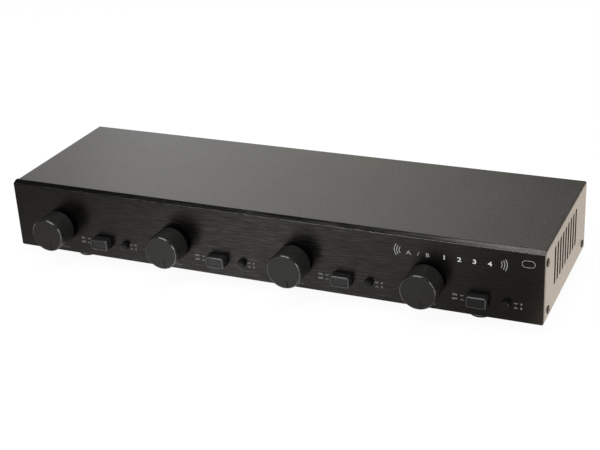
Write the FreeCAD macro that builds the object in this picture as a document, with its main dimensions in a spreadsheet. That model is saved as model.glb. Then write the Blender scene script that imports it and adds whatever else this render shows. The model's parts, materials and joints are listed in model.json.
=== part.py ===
"""Four-channel A/B speaker selector: a parametric document of all its pieces, in millimetres.

X runs along the front panel, Y from the front to the back and Z up. The origin is on the floor
under the middle of the whole selector, knobs and rear terminals included.
"""
import FreeCAD
import Part
import math
import os
import Sketcher
from types import SimpleNamespace

Vector = FreeCAD.Vector
Placement = FreeCAD.Placement
Rotation = FreeCAD.Rotation

CHANNELS = 4
VENTS = 9
AMPLIFIERS = 2
POLES = 4
CONTROL_PIN_ROWS = 2
CONTROL_PIN_COLUMNS = 3
NUT_SIDES = 6
CLOSE = 1e-4

DIMENSIONS = {
    # front panel
    "panel_width": 430.0,
    "panel_height": 53.8,
    "panel_thickness": 5.0,
    "panel_corner_radius": 1.5,
    "panel_edge_chamfer": 0.3,
    "panel_drop": 0.9,
    "panel_crest": 2.3,
    "panel_crest_flat": 1.0,
    "panel_crest_round": 0.5,
    # case
    "case_height": 54.3,
    "case_depth": 124.5,
    "cover_sheet": 0.8,
    "cover_bend": 1.6,
    "cover_fit": 0.3,
    "cover_lip": 11.0,
    "tray_sheet": 1.2,
    "tray_lip": 10.0,
    "tray_ear": 9.0,
    "rear_sheet": 1.2,
    "rear_foot": 12.0,
    "rear_fit": 0.3,
    # vents in both sides of the cover
    "vent_width": 4.2,
    "vent_length": 30.0,
    "vent_pitch": 8.11,
    "vent_front": 25.45,
    "vent_level": 31.4,
    # channels
    "first_knob_inset": 41.1,
    "last_ab_inset": 26.0,
    "knob_to_button": 37.6,
    "knob_to_ab": 57.8,
    "knob_level": 22.6,
    "button_level": 13.4,
    # knobs
    "knob_radius": 13.5,
    "knob_front": 21.0,
    "knob_length": 18.0,
    "knob_ring": 0.9,
    "knob_back_chamfer": 0.4,
    "knob_wall": 2.0,
    "knob_hollow": 12.0,
    "knob_hub_radius": 5.0,
    "knob_hub_recess": 1.6,
    "knob_bore_depth": 13.0,
    "pointer_inner": 6.3,
    "pointer_outer": 12.8,
    "pointer_width": 0.7,
    "pointer_depth": 0.4,
    "pointer_angle": 15.0,
    # volume controls
    "shaft_radius": 3.0,
    "shaft_fit": 0.04,
    "shaft_flat": 0.8,
    "shaft_flat_length": 10.0,
    "shaft_root": 20.0,
    "shaft_end_gap": 0.4,
    "bushing_radius": 4.5,
    "bushing_clearance": 0.25,
    "bushing_reach": 3.3,
    "control_radius": 13.0,
    "control_depth": 18.0,
    "control_plate": 28.0,
    "control_plate_thickness": 1.5,
    "control_pin": 0.9,
    "control_pin_pitch": 2.4,
    "control_pin_row": 6.0,
    "nut_flats": 12.0,
    "nut_thickness": 2.0,
    "washer_radius": 6.6,
    "washer_thickness": 0.5,
    # ON/OFF buttons
    "button_width": 14.6,
    "button_height": 8.6,
    "button_front": 7.0,
    "button_back": 8.0,
    "button_corner": 1.5,
    "button_bevel": 1.0,
    "button_edge": 0.25,
    "button_clearance": 0.5,
    "button_socket": 4.0,
    # A/B buttons
    "ab_radius": 2.9,
    "ab_front": 4.2,
    "ab_bevel": 0.6,
    "ab_clearance": 0.4,
    "flange_clearance": 1.0,
    # push switches
    "plunger_width": 4.0,
    "ab_plunger_width": 3.0,
    "plunger_clearance": 0.1,
    "switch_front": 13.0,
    "switch_width": 14.0,
    "switch_depth": 22.0,
    "ab_switch_width": 8.5,
    "ab_switch_depth": 17.0,
    "plunger_reach": 8.0,
    "switch_cavity": 12.0,
    # main board
    "board_side_gap": 7.3,
    "board_front": 10.0,
    "board_rear_gap": 7.1,
    "board_thickness": 1.6,
    "standoff_height": 3.5,
    "standoff_radius": 2.9,
    "standoff_inset_side": 15.0,
    "standoff_x_inner": 64.0,
    "standoff_inset_front": 32.0,
    "standoff_inset_back": 26.0,
    # autoformers
    "core_outer_leg": 5.3,
    "core_middle_leg": 10.6,
    "core_yoke": 5.3,
    "core_window_width": 5.3,
    "core_window_height": 15.9,
    "core_stack": 16.0,
    "autoformer_y": 66.0,
    "autoformer_offset": 10.5,
    "autoformer_spacing": 42.0,
    "coil_overhang": 4.5,
    "coil_gap": 0.3,
    # speaker terminals
    "terminal_inset": 50.0,
    "terminal_projection": 8.0,
    "terminal_depth": 29.5,
    "terminal_height": 14.0,
    "pole_pitch": 5.08,
    "wire_hole_radius": 1.7,
    "wire_hole_depth": 8.0,
    "wire_hole_level": 4.6,
    "clamp_screw_radius": 1.8,
    "clamp_screw_height": 1.6,
    "clamp_screw_inset": 4.4,
    "clamp_screw_recess": 0.6,
    "clamp_slot": 0.6,
    "window_clearance": 0.4,
    # feet
    "foot_height": 9.9,
    "foot_radius": 9.0,
    "foot_bottom_radius": 8.2,
    "foot_edge": 1.2,
    "foot_recess_radius": 4.2,
    "foot_recess_depth": 5.5,
    "foot_inset_side": 50.0,
    "foot_inset_front": 16.0,
    "foot_inset_back": 19.5,
    # screws
    "screw_radius": 1.5,
    "screw_fit": 0.05,
    "head_radius": 3.1,
    "head_height": 1.7,
    "cross_width": 0.8,
    "cross_length": 3.4,
    "cross_depth": 0.9,
    "cover_head_height": 0.8,
    "cover_cross_depth": 0.5,
    "side_screw_length": 6.0,
    "side_screw_top_y": 3.5,
    "side_screw_drop": 10.5,
    "side_screw_front_y": 8.0,
    "side_screw_back_inset": 6.7,
    "side_screw_low_z": 5.2,
    "rear_screw_inset": 65.0,
    "rear_screw_drop": 6.0,
    "rear_screw_length": 6.0,
    "base_screw_inset": 33.0,
    "base_screw_inner_x": 66.0,
    "base_screw_length": 4.0,
    "panel_screw_inset": 12.0,
    "panel_screw_low": 8.0,
    "panel_screw_drop": 7.7,
    "panel_screw_length": 5.0,
    "panel_thread_depth": 4.0,
    "board_screw_length": 4.4,
    "foot_screw_grip": 2.0,
}


class Size:
    """A length with its value and the spreadsheet formula that it is bound to."""

    def __init__(self, number, text):
        self.number = number
        self.text = text

    def __add__(self, other):
        other = as_size(other)
        return Size(self.number + other.number, f"({self.text} + {other.text})")

    def __radd__(self, other):
        return as_size(other) + self

    def __sub__(self, other):
        other = as_size(other)
        return Size(self.number - other.number, f"({self.text} - {other.text})")

    def __rsub__(self, other):
        return as_size(other) - self

    def __mul__(self, other):
        other = as_size(other)
        return Size(self.number * other.number, f"({self.text} * {other.text})")

    def __rmul__(self, other):
        return as_size(other) * self

    def __truediv__(self, other):
        other = as_size(other)
        return Size(self.number / other.number, f"({self.text} / {other.text})")

    def __neg__(self):
        return 0 - self


def as_size(value):
    """Let a plain number take part in a formula."""
    return value if isinstance(value, Size) else Size(float(value), repr(float(value)))


# ---------------------------------------------------------------- document and sheet

doc = FreeCAD.newDocument("speaker_selector")
sheet = doc.addObject("Spreadsheet::Sheet", "Dims")
for row, (alias, value) in enumerate(DIMENSIONS.items(), start=1):
    sheet.set(f"A{row}", alias)
    sheet.set(f"B{row}", str(value))
    sheet.setAlias(f"B{row}", alias)
doc.recompute()

d = SimpleNamespace(**{alias: Size(value, f"Dims.{alias}") for alias, value in DIMENSIONS.items()})

# Places along X, heights above the floor and depths behind the front face that many pieces share.
half_width = d.panel_width / 2
first_knob_x = d.first_knob_inset - half_width
first_button_x = first_knob_x + d.knob_to_button
first_ab_x = first_knob_x + d.knob_to_ab
last_ab_x = half_width - d.last_ab_inset
channel_pitch = (last_ab_x - first_ab_x) / (CHANNELS - 1)
panel_bottom = d.foot_height - d.panel_drop
case_back = d.panel_thickness + d.case_depth
face_y = (d.knob_front - case_back - d.terminal_projection) / 2
flange_back = d.panel_thickness + d.tray_sheet
half_tray = half_width - d.cover_sheet - d.cover_fit
tray_height = d.case_height - d.cover_sheet - d.cover_fit
tray_depth = d.case_depth - d.cover_sheet
board_bottom = d.foot_height + d.tray_sheet + d.standoff_height
board_top = board_bottom + d.board_thickness
knob_axis = panel_bottom + d.knob_level
button_axis = panel_bottom + d.button_level
switch_height = 2 * (button_axis - board_top)
board_length = 2 * (half_tray - d.tray_sheet - d.board_side_gap)
rear_panel_front = case_back - d.cover_sheet - d.rear_sheet
board_back = rear_panel_front - d.board_rear_gap
terminal_width = POLES * d.pole_pitch
terminal_front = case_back + d.terminal_projection - d.terminal_depth
terminal_pitch = 2 * (half_width - d.terminal_inset) / (AMPLIFIERS + CHANNELS - 1)
screw_hole = d.screw_radius + d.screw_fit

NODES = {}


def bind(item, name, size):
    """Bind one property of an object to a formula of the sheet."""
    item.setExpression(name, as_size(size).text)


def place(item, node, x, y, z):
    """Put a finished piece at x, y behind the front face and z above the floor, and name it."""
    item.Label = node
    bind(item, "Placement.Base.x", x)
    bind(item, "Placement.Base.y", face_y + y)
    bind(item, "Placement.Base.z", z)
    NODES[node] = item


# ---------------------------------------------------------------- solids from primitives

TURN = {"x": Rotation(Vector(0, 1, 0), 90), "y": Rotation(Vector(1, 0, 0), -90), "z": Rotation()}
TURN_BACK = {"x": Rotation(Vector(0, 1, 0), -90), "y": Rotation(Vector(1, 0, 0), 90),
             "z": Rotation(Vector(1, 0, 0), 180)}


def at(item, x, y, z):
    """Bind the local position of a primitive."""
    for axis, size in zip("xyz", (x, y, z)):
        bind(item, f"Placement.Base.{axis}", size)
    return item


def box(width, depth, height, x, y, z):
    """A box centred on x and y, standing on z."""
    item = doc.addObject("Part::Box", "Box")
    bind(item, "Length", width)
    bind(item, "Width", depth)
    bind(item, "Height", height)
    return at(item, x - as_size(width) / 2, y - as_size(depth) / 2, z)


def slab(width, depth, height, x, y, z):
    """A box centred on x, from y backwards and from z upwards."""
    return box(width, depth, height, x, y + as_size(depth) / 2, z)


def rod(radius, length, x, y, z, axis="z", turn=TURN):
    """A cylinder that starts at a point and runs along an axis."""
    item = doc.addObject("Part::Cylinder", "Rod")
    bind(item, "Radius", radius)
    bind(item, "Height", length)
    item.Placement = Placement(Vector(), turn[axis])
    return at(item, x, y, z)


def join(items):
    """One object from several: touching solids merge and the others stay apart."""
    if len(items) == 1:
        return items[0]
    item = doc.addObject("Part::MultiFuse", "Join")
    item.Shapes = items
    return item


def carve(base, tools):
    """A solid less its tools."""
    item = doc.addObject("Part::Cut", "Carve")
    item.Base = base
    item.Tool = join(tools)
    return item


def channel_x(first_x, channel):
    """The place of a piece in one of the channels, counted from 0."""
    return first_x + channel * channel_pitch


# ---------------------------------------------------------------- sketches

def sketch_on(body, plane_role, lift=0.0, turn=None):
    """A sketch on one of the body's own planes, lifted along the plane's normal."""
    plane = next(item for item in body.Origin.OriginFeatures if item.Role == plane_role)
    sketch = body.newObject("Sketcher::SketchObject", "Sketch")
    sketch.AttachmentSupport = [(plane, "")]
    sketch.MapMode = "FlatFace"
    if turn is not None:
        sketch.AttachmentOffset = Placement(Vector(), Rotation(Vector(0, 0, 1), turn.number))
        bind(sketch, "AttachmentOffset.Rotation.Angle", turn)
    bind(sketch, "AttachmentOffset.Base.z", lift)
    return sketch


def drive(sketch, constraint, size):
    """Add a dimension to a sketch and bind it."""
    index = sketch.addConstraint(constraint)
    bind(sketch, f"Constraints[{index}]", size)


def pin(sketch, geometry, point, x, y):
    """Fix a point of a sketch by its two coordinates."""
    x, y = as_size(x), as_size(y)
    drive(sketch, Sketcher.Constraint("DistanceX", -1, 1, geometry, point, x.number), x)
    drive(sketch, Sketcher.Constraint("DistanceY", -1, 1, geometry, point, y.number), y)


def polygon(sketch, points):
    """A closed outline of straight lines."""
    points = [(as_size(x), as_size(y)) for x, y in points]
    lines = []
    for start, end in zip(points, points[1:] + points[:1]):
        line = Part.LineSegment(Vector(start[0].number, start[1].number, 0),
                                Vector(end[0].number, end[1].number, 0))
        lines.append(sketch.addGeometry(line, False))
    for line, following in zip(lines, lines[1:] + lines[:1]):
        sketch.addConstraint(Sketcher.Constraint("Coincident", line, 2, following, 1))
    for line, (x, y) in zip(lines, points):
        pin(sketch, line, 1, x, y)


def circle(sketch, x, y, radius):
    """A circle about a point."""
    x, y, radius = as_size(x), as_size(y), as_size(radius)
    ring = sketch.addGeometry(Part.Circle(Vector(x.number, y.number, 0), Vector(0, 0, 1), radius.number))
    drive(sketch, Sketcher.Constraint("Radius", ring, radius.number), radius)
    pin(sketch, ring, 3, x, y)


def rounded_rectangle(sketch, x, y, width, height, corner):
    """A rectangle about a point, with an arc in each corner."""
    x, y, width, height, corner = (as_size(value) for value in (x, y, width, height, corner))
    right, top = width / 2 - corner, height / 2 - corner
    centres = [(x + right, y + top), (x - right, y + top), (x - right, y - top), (x + right, y - top)]
    arcs = []
    for quarter, (cx, cy) in enumerate(centres):
        round_corner = Part.Circle(Vector(cx.number, cy.number, 0), Vector(0, 0, 1), corner.number)
        start = quarter * math.pi / 2
        arcs.append(sketch.addGeometry(Part.ArcOfCircle(round_corner, start, start + math.pi / 2)))
    for quarter, arc in enumerate(arcs):
        following = arcs[(quarter + 1) % len(arcs)]
        line = Part.LineSegment(sketch.getPoint(arc, 2), sketch.getPoint(following, 1))
        edge = sketch.addGeometry(line)
        sketch.addConstraint(Sketcher.Constraint("Tangent", arc, 2, edge, 1))
        sketch.addConstraint(Sketcher.Constraint("Tangent", edge, 2, following, 1))
    for arc, (cx, cy) in zip(arcs, centres):
        drive(sketch, Sketcher.Constraint("Radius", arc, corner.number), corner)
        pin(sketch, arc, 3, cx, cy)


def upright_slot(sketch, x, y, width, length):
    """A slot about a point, with a half circle at its top and bottom."""
    x, y, width, length = (as_size(value) for value in (x, y, width, length))
    reach = (length - width) / 2
    arcs = []
    for start, cy in ((0.0, y + reach), (math.pi, y - reach)):
        end_circle = Part.Circle(Vector(x.number, cy.number, 0), Vector(0, 0, 1), width.number / 2)
        arcs.append(sketch.addGeometry(Part.ArcOfCircle(end_circle, start, start + math.pi)))
    for arc, following in (arcs, arcs[::-1]):
        line = Part.LineSegment(sketch.getPoint(arc, 2), sketch.getPoint(following, 1))
        edge = sketch.addGeometry(line)
        sketch.addConstraint(Sketcher.Constraint("Tangent", arc, 2, edge, 1))
        sketch.addConstraint(Sketcher.Constraint("Tangent", edge, 2, following, 1))
    for arc, cy in zip(arcs, (y + reach, y - reach)):
        drive(sketch, Sketcher.Constraint("Radius", arc, width.number / 2), width / 2)
        pin(sketch, arc, 3, x, cy)


# ---------------------------------------------------------------- features of a body

def new_body():
    """An empty body."""
    return doc.addObject("PartDesign::Body", "Body")


def pad(body, sketch, length, backwards=True):
    """Thicken a sketch, by default from the front to the back."""
    feature = body.newObject("PartDesign::Pad", "Pad")
    feature.Profile = sketch
    feature.Reversed = backwards
    bind(feature, "Length", length)
    doc.recompute()
    return feature


def pocket_through(body, sketch):
    """Cut a sketch right through the body, both ways."""
    feature = body.newObject("PartDesign::Pocket", "Pocket")
    feature.Profile = sketch
    feature.Type = "ThroughAll"
    feature.Midplane = True
    return checked_cut(body, feature)


def pocket(body, sketch, depth, forwards=False):
    """Cut a sketch into the body, towards its back unless forwards is set."""
    feature = body.newObject("PartDesign::Pocket", "Pocket")
    feature.Profile = sketch
    feature.Reversed = forwards
    bind(feature, "Length", depth)
    return checked_cut(body, feature)


def checked_cut(body, feature):
    """Recompute, and stop if the cut took nothing away."""
    before = feature.BaseFeature.Shape.Volume
    doc.recompute()
    if body.Shape.Volume >= before:
        raise ValueError(f"{feature.Name} cuts nothing")
    return feature


def repeat(body, features, sketch, length, count):
    """Repeat features along the sketch's horizontal axis."""
    feature = body.newObject("PartDesign::LinearPattern", "Row")
    feature.Originals = features
    feature.Direction = (sketch, ["H_Axis"])
    feature.Occurrences = count
    bind(feature, "Length", length)
    body.Tip = feature
    doc.recompute()
    return feature


def revolve(body, sketch):
    """Turn a sketch about its vertical axis."""
    feature = body.newObject("PartDesign::Revolution", "Turned")
    feature.Profile = sketch
    feature.ReferenceAxis = (sketch, ["V_Axis"])
    doc.recompute()
    return feature


def dress(body, kind, property_name, size, wanted):
    """Fillet or chamfer the edges of the body that a test picks."""
    base = body.Tip
    names = [f"Edge{number}" for number, edge in enumerate(base.Shape.Edges, start=1) if wanted(edge)]
    if not names:
        raise ValueError(f"{body.Name}: no edge to dress")
    feature = body.newObject(kind, "Dress")
    feature.Base = (base, names)
    bind(feature, property_name, size)
    doc.recompute()
    return feature


def fillet(body, radius, wanted):
    """Round the picked edges."""
    return dress(body, "PartDesign::Fillet", "Radius", radius, wanted)


def chamfer(body, size, wanted):
    """Bevel the picked edges."""
    return dress(body, "PartDesign::Chamfer", "Size", size, wanted)


def in_plane(axis, level):
    """A test for edges that lie in one plane across an axis."""
    low, high = f"{axis}Min", f"{axis}Max"

    def test(edge):
        bounds = edge.BoundBox
        return abs(getattr(bounds, low) - level) < CLOSE and abs(getattr(bounds, high) - level) < CLOSE
    return test


# ---------------------------------------------------------------- screws, nuts and washers

def screws(node, places, length, axis, turn, x=0.0, y=0.0, z=0.0, head=d.head_height,
           recess=d.cross_depth):
    """A group of cross-head screws, each with its head's underside at its place.

    The head points along the axis, or against it where turn is TURN_BACK.
    """
    other = TURN_BACK if turn is TURN else TURN
    sign = 1 if turn is TURN else -1
    metal, crosses = [], []
    for place_x, place_y, place_z in places:
        metal.append(rod(d.head_radius, head, place_x, place_y, place_z, axis, turn))
        metal.append(rod(d.screw_radius, length, place_x, place_y, place_z, axis, other))
        crosses += cross(axis, sign * (head - recess / 2), recess, place_x, place_y, place_z)
    place(carve(join(metal), crosses), node, x, y, z)


def cross(axis, middle, depth, x, y, z):
    """The two slots of a cross recess, with their middle that far along the axis."""
    sizes = {"x": (depth, d.cross_length, d.cross_width),
             "y": (d.cross_length, depth, d.cross_width),
             "z": (d.cross_length, d.cross_width, depth)}[axis]
    turned = {"x": (sizes[0], sizes[2], sizes[1]),
              "y": (sizes[2], sizes[1], sizes[0]),
              "z": (sizes[1], sizes[0], sizes[2])}[axis]
    centre = {"x": x, "y": y, "z": z}
    centre[axis] = centre[axis] + middle
    return [box(*size, centre["x"], centre["y"], centre["z"] - size[2] / 2) for size in (sizes, turned)]


def foot_places():
    """The four feet, named, with x and with y behind the front face."""
    front_y = d.panel_thickness + d.foot_inset_front
    back_y = case_back - d.foot_inset_back
    foot_x = half_width - d.foot_inset_side
    return {"front_left": (-foot_x, front_y), "front_right": (foot_x, front_y),
            "rear_left": (-foot_x, back_y), "rear_right": (foot_x, back_y)}


def side_screw_places():
    """Depth behind the cover's front edge and height above its bottom edge, on each side."""
    return [(d.side_screw_top_y, d.case_height - d.side_screw_drop),
            (d.side_screw_front_y, d.side_screw_low_z),
            (d.case_depth - d.side_screw_back_inset, d.side_screw_low_z)]


def rear_screw_places():
    """The places along X of the screws through the cover's rear lip."""
    outer = half_width - d.rear_screw_inset
    return [-outer, as_size(0), outer]


def base_screw_places():
    """The places along X of the screws that hold the rear panel to the tray."""
    outer = half_width - d.base_screw_inset
    return [-outer, -d.base_screw_inner_x, d.base_screw_inner_x, outer]


def panel_screw_places():
    """x and height above the panel's bottom edge of the screws into the front panel."""
    outer = half_width - d.panel_screw_inset
    levels = (d.panel_screw_low, d.panel_drop + tray_height - d.panel_screw_drop)
    return [(x, level) for x in (-outer, outer) for level in levels]


def standoff_places():
    """x and depth behind the front face of the board's standoffs."""
    outer = board_length / 2 - d.standoff_inset_side
    columns = (-outer, -d.standoff_x_inner, d.standoff_x_inner, outer)
    rows = (d.board_front + d.standoff_inset_front, board_back - d.standoff_inset_back)
    return [(x, y) for x in columns for y in rows]


base_screw_y = rear_panel_front - d.rear_foot / 2
rear_screw_z = d.foot_height + d.case_height - d.rear_screw_drop


def make_fasteners():
    """Every group of screws, the nuts and the washers."""
    head_up = d.foot_recess_depth
    feet = [(x, y, head_up) for x, y in foot_places().values()]
    grip = d.foot_height - head_up + d.tray_sheet + d.foot_screw_grip
    screws("foot_screws", feet, grip, "z", TURN_BACK)

    right = [(half_width, y, z) for y, z in side_screw_places()]
    left = [(-half_width, y, z) for y, z in side_screw_places()]
    low_head = {"head": d.cover_head_height, "recess": d.cover_cross_depth}
    screws("right_side_screws", right, d.side_screw_length, "x", TURN,
           y=d.panel_thickness, z=d.foot_height, **low_head)
    screws("left_side_screws", left, d.side_screw_length, "x", TURN_BACK,
           y=d.panel_thickness, z=d.foot_height, **low_head)

    rear = [(x, 0.0, 0.0) for x in rear_screw_places()]
    screws("rear_cover_screws", rear, d.rear_screw_length, "y", TURN, y=case_back, z=rear_screw_z,
           **low_head)

    base = [(x, 0.0, 0.0) for x in base_screw_places()]
    screws("rear_panel_screws", base, d.base_screw_length, "z", TURN_BACK,
           y=base_screw_y, z=d.foot_height)

    panel = [(x, 0.0, level) for x, level in panel_screw_places()]
    screws("front_panel_screws", panel, d.panel_screw_length, "y", TURN, y=flange_back, z=panel_bottom)

    board = [(x, y, 0.0) for x, y in standoff_places()]
    screws("board_screws", board, d.board_screw_length, "z", TURN, z=board_top)

    rings, ring_bores, nuts, nut_bores = [], [], [], []
    nut_corner = d.nut_flats / 2 / math.cos(math.pi / NUT_SIDES)
    bore = d.bushing_radius + d.screw_fit
    for channel in range(CHANNELS):
        x = channel_x(first_knob_x, channel)
        rings.append(rod(d.washer_radius, d.washer_thickness, x, 0.0, 0.0, "y", TURN_BACK))
        ring_bores.append(rod(bore, d.washer_thickness, x, 0.0, 0.0, "y", TURN_BACK))
        nut = doc.addObject("Part::Prism", "Nut")
        nut.Polygon = NUT_SIDES
        bind(nut, "Circumradius", nut_corner)
        bind(nut, "Height", d.nut_thickness)
        nut.Placement = Placement(Vector(), TURN_BACK["y"])
        nuts.append(at(nut, x, 0.0, 0.0))
        nut_bores.append(rod(bore, d.nut_thickness, x, 0.0, 0.0, "y", TURN_BACK))
    place(carve(join(rings), ring_bores), "control_washers", 0.0, 0.0, knob_axis)
    place(carve(join(nuts), nut_bores), "control_nuts", 0.0, -d.washer_thickness, knob_axis)


# ---------------------------------------------------------------- case

def make_front_panel():
    """The thick aluminium face: bevelled top, openings for each channel and blind threads behind."""
    body = new_body()
    crest = d.panel_height + d.panel_crest
    crest_front = d.panel_thickness - d.panel_crest_flat
    outline = sketch_on(body, "XZ_Plane")
    rounded_rectangle(outline, 0.0, crest / 2, d.panel_width, crest, d.panel_corner_radius)
    pad(body, outline, d.panel_thickness)
    bevel = sketch_on(body, "YZ_Plane")
    polygon(bevel, [(0.0, d.panel_height), (crest_front, crest), (crest_front, 2 * crest),
                    (-crest_front, 2 * crest), (-crest_front, d.panel_height)])
    pocket_through(body, bevel)
    fillet(body, d.panel_crest_round, in_plane("Y", crest_front.number))
    chamfer(body, d.panel_edge_chamfer, in_plane("Y", 0.0))

    bushing_hole = sketch_on(body, "XZ_Plane")
    circle(bushing_hole, first_knob_x, d.knob_level, d.bushing_radius + d.bushing_clearance)
    button_hole = sketch_on(body, "XZ_Plane")
    rounded_rectangle(button_hole, first_button_x, d.button_level,
                      d.button_width + 2 * d.button_clearance,
                      d.button_height + 2 * d.button_clearance,
                      d.button_corner + d.button_clearance)
    ab_hole = sketch_on(body, "XZ_Plane")
    circle(ab_hole, first_ab_x, d.button_level, d.ab_radius + d.ab_clearance)
    cuts = [pocket_through(body, sketch) for sketch in (bushing_hole, button_hole, ab_hole)]
    repeat(body, cuts, bushing_hole, (CHANNELS - 1) * channel_pitch, CHANNELS)

    threads = sketch_on(body, "XZ_Plane", -d.panel_thickness)
    for x, level in panel_screw_places():
        circle(threads, x, level, screw_hole)
    pocket(body, threads, d.panel_thread_depth, forwards=True)
    place(body, "front_panel", 0.0, 0.0, panel_bottom)


def make_chassis_tray():
    """The bent steel tray: floor, front flange, two ears and two side lips."""
    width = 2 * half_tray
    side_x = half_tray - d.tray_sheet / 2
    plates = [slab(width, tray_depth, d.tray_sheet, 0.0, 0.0, 0.0),
              slab(width, d.tray_sheet, tray_height, 0.0, 0.0, 0.0)]
    for x in (-side_x, side_x):
        plates.append(slab(d.tray_sheet, d.tray_ear, tray_height, x, 0.0, 0.0))
        plates.append(slab(d.tray_sheet, tray_depth, d.tray_lip, x, 0.0, 0.0))

    holes = []
    level = d.button_level - d.panel_drop
    window_height = d.button_height + 2 * d.flange_clearance
    for channel in range(CHANNELS):
        holes.append(rod(d.bushing_radius + d.bushing_clearance, d.tray_sheet,
                         channel_x(first_knob_x, channel), 0.0, d.knob_level - d.panel_drop, "y"))
        holes.append(slab(d.button_width + 2 * d.flange_clearance, d.tray_sheet, window_height,
                          channel_x(first_button_x, channel), 0.0, level - window_height / 2))
        holes.append(rod(d.ab_radius + d.flange_clearance, d.tray_sheet,
                         channel_x(first_ab_x, channel), 0.0, level, "y"))
    for x, level in panel_screw_places():
        holes.append(rod(screw_hole, d.tray_sheet, x, 0.0, level - d.panel_drop, "y"))
    for y, z in side_screw_places():
        holes.append(rod(screw_hole, d.tray_sheet, -half_tray, y, z, "x"))
        holes.append(rod(screw_hole, d.tray_sheet, half_tray - d.tray_sheet, y, z, "x"))
    for x, y in foot_places().values():
        holes.append(rod(screw_hole, d.tray_sheet, x, y - d.panel_thickness, 0.0))
    for x in base_screw_places():
        holes.append(rod(screw_hole, d.tray_sheet, x, base_screw_y - d.panel_thickness, 0.0))
    place(carve(join(plates), holes), "chassis_tray", 0.0, d.panel_thickness, d.foot_height)


def make_rear_panel():
    """The rear plate on its foot between the tray's lips, with a window for each block of terminals."""
    width = 2 * (half_tray - d.tray_sheet - d.rear_fit)
    height = tray_height - d.tray_sheet
    back = d.rear_foot + d.rear_sheet
    plates = [slab(width, d.rear_sheet, height, 0.0, -d.rear_sheet, 0.0),
              slab(width, back, d.rear_sheet, 0.0, -back, 0.0)]
    holes = []
    window_bottom = board_top - d.foot_height - d.tray_sheet - d.window_clearance
    for block in range(AMPLIFIERS + CHANNELS):
        holes.append(slab(terminal_width + 2 * d.window_clearance, d.rear_sheet,
                          d.terminal_height + 2 * d.window_clearance,
                          terminal_x(block), -d.rear_sheet, window_bottom))
    for x in rear_screw_places():
        holes.append(rod(screw_hole, d.rear_sheet, x, -d.rear_sheet,
                         rear_screw_z - d.foot_height - d.tray_sheet, "y"))
    for x in base_screw_places():
        holes.append(rod(screw_hole, d.rear_sheet, x, -d.rear_sheet - d.rear_foot / 2, 0.0))
    place(carve(join(plates), holes), "rear_panel",
          0.0, case_back - d.cover_sheet, d.foot_height + d.tray_sheet)


def make_top_cover():
    """The bent steel cover: top, two vented sides and a rear lip."""
    body = new_body()
    half = half_width
    inner = half - d.cover_sheet
    under = d.case_height - d.cover_sheet
    section = sketch_on(body, "XZ_Plane")
    polygon(section, [(-half, 0.0), (-half, d.case_height), (half, d.case_height), (half, 0.0),
                      (inner, 0.0), (inner, under), (-inner, under), (-inner, 0.0)])
    pad(body, section, d.case_depth)

    def bend(level, radius):
        def test(edge):
            bounds = edge.BoundBox
            return bounds.YLength > CLOSE and abs(bounds.ZMin - level) < CLOSE and bounds.ZLength < CLOSE
        fillet(body, radius, test)
    bend(d.case_height.number, d.cover_bend)
    bend(under.number, d.cover_bend - d.cover_sheet)

    lip = sketch_on(body, "XZ_Plane", -(d.case_depth - d.cover_sheet))
    low = d.case_height - d.cover_lip
    high = d.case_height - d.cover_bend
    polygon(lip, [(-inner, low), (inner, low), (inner, high), (half - d.cover_bend, under),
                  (d.cover_bend - half, under), (-inner, high)])
    pad(body, lip, d.cover_sheet)

    vent = sketch_on(body, "YZ_Plane")
    upright_slot(vent, d.vent_front, d.vent_level, d.vent_width, d.vent_length)
    vent_cut = pocket_through(body, vent)
    repeat(body, [vent_cut], vent, (VENTS - 1) * d.vent_pitch, VENTS)

    side_holes = sketch_on(body, "YZ_Plane")
    for y, z in side_screw_places():
        circle(side_holes, y, z, screw_hole)
    pocket_through(body, side_holes)
    lip_holes = sketch_on(body, "XZ_Plane")
    for x in rear_screw_places():
        circle(lip_holes, x, d.case_height - d.rear_screw_drop, screw_hole)
    pocket_through(body, lip_holes)
    place(body, "top_cover", 0.0, d.panel_thickness, d.foot_height)


def make_feet():
    """Four turned feet, each with a recess for its screw."""
    for corner, (x, y) in foot_places().items():
        body = new_body()
        profile = sketch_on(body, "XZ_Plane")
        polygon(profile, [(d.foot_recess_radius, 0.0), (d.foot_bottom_radius, 0.0),
                          (d.foot_radius, d.foot_height), (screw_hole, d.foot_height),
                          (screw_hole, d.foot_recess_depth), (d.foot_recess_radius, d.foot_recess_depth)])
        revolve(body, profile)
        outer = d.foot_recess_radius.number + CLOSE

        def rim(edge, limit=outer):
            bounds = edge.BoundBox
            return bounds.ZMax < CLOSE and bounds.XMax > limit
        fillet(body, d.foot_edge, rim)
        place(body, f"foot_{corner}", x, y, 0.0)


# ---------------------------------------------------------------- volume controls and knobs

def make_volume_control(channel):
    """One rotary control: can, mounting plate, threaded bushing, bore and solder pins."""
    front = flange_back + d.bushing_reach
    solids = [rod(d.control_radius, d.control_depth, 0.0, 0.0, 0.0, "y"),
              slab(d.control_plate, d.control_plate_thickness, d.control_plate, 0.0, 0.0,
                   -d.control_plate / 2),
              rod(d.bushing_radius, front, 0.0, 0.0, 0.0, "y", TURN_BACK)]
    for row in range(CONTROL_PIN_ROWS):
        for column in range(CONTROL_PIN_COLUMNS):
            solids.append(box(d.control_pin, d.control_pin, knob_axis - board_top,
                              (column - (CONTROL_PIN_COLUMNS - 1) / 2) * d.control_pin_pitch,
                              (row + 1) * d.control_pin_row, board_top - knob_axis))
    bore = rod(d.shaft_radius + d.shaft_fit, d.bushing_reach + d.shaft_root + d.shaft_end_gap,
               0.0, -front, 0.0, "y")
    place(carve(join(solids), [bore]), f"volume_control_{channel + 1}",
          channel_x(first_knob_x, channel), flange_back, knob_axis)


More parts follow.
